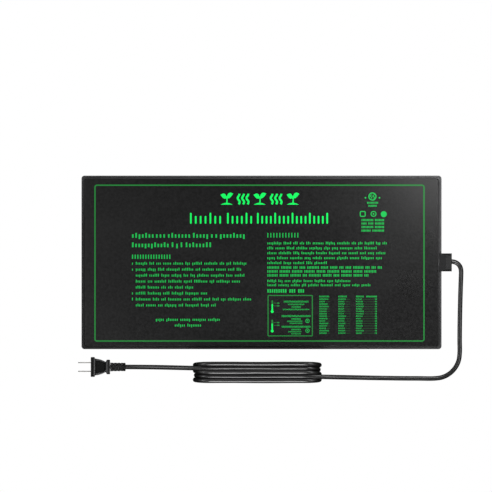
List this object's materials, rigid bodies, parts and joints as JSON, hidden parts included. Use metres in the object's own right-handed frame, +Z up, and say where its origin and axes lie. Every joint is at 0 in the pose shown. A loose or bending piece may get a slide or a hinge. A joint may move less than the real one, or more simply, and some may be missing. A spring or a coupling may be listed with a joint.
{
  "type": "seedling heat mat",
  "caption": "Flat black welded heat mat for seed trays, with a raised heated field, a cord entry block on one short edge, and a lead folded into a hank that ends in a two-blade plug.",
  "frame": {"origin": "centre of the mat's flat underside, where it rests on the bench", "axes": "+X along the mat's length towards the cord entry block, +Y across its width away from the hank, +Z up out of the printed face"},
  "size_m": [0.564, 0.3037, 0.0476],
  "materials": {
    "cover_pvc": "matte",
    "foam": "matte",
    "foil": "satin",
    "wire_insulation": "satin",
    "clear_film": "gloss",
    "block_pvc": "satin",
    "black_rubber": "matte",
    "tinned_crimp": "satin",
    "shrink_sleeve": "satin",
    "black_core": "satin",
    "white_core": "satin",
    "cord_pvc": "gloss",
    "plug_pvc": "gloss",
    "insert_plastic": "satin",
    "nickel": "polished",
    "green_ink": "satin"
  },
  "bodies": {
    "root": {"bottom_cover": "cover_pvc", "insulation_pad": "foam", "heat_spreader_foil": "foil", "heating_wire": "wire_insulation", "wire_cover_film": "clear_film", "top_cover": "cover_pvc", "junction_base": "block_pvc", "junction_cover": "block_pvc", "wire_grommet": "black_rubber", "splice_live": "tinned_crimp", "splice_neutral": "tinned_crimp", "splice_sleeve_live": "shrink_sleeve", "splice_sleeve_neutral": "shrink_sleeve", "core_live": "black_core", "core_neutral": "white_core", "cord_clamp": "black_rubber", "cord_lead": "cord_pvc", "cord_hank": "cord_pvc", "cord_tail": "cord_pvc", "plug_strain_relief": "plug_pvc", "plug_body": "plug_pvc", "plug_insert": "insert_plastic", "blade_line": "nickel", "blade_neutral": "nickel", "plug_core_line": "black_core", "plug_core_neutral": "white_core"}
  },
  "joints": []
}
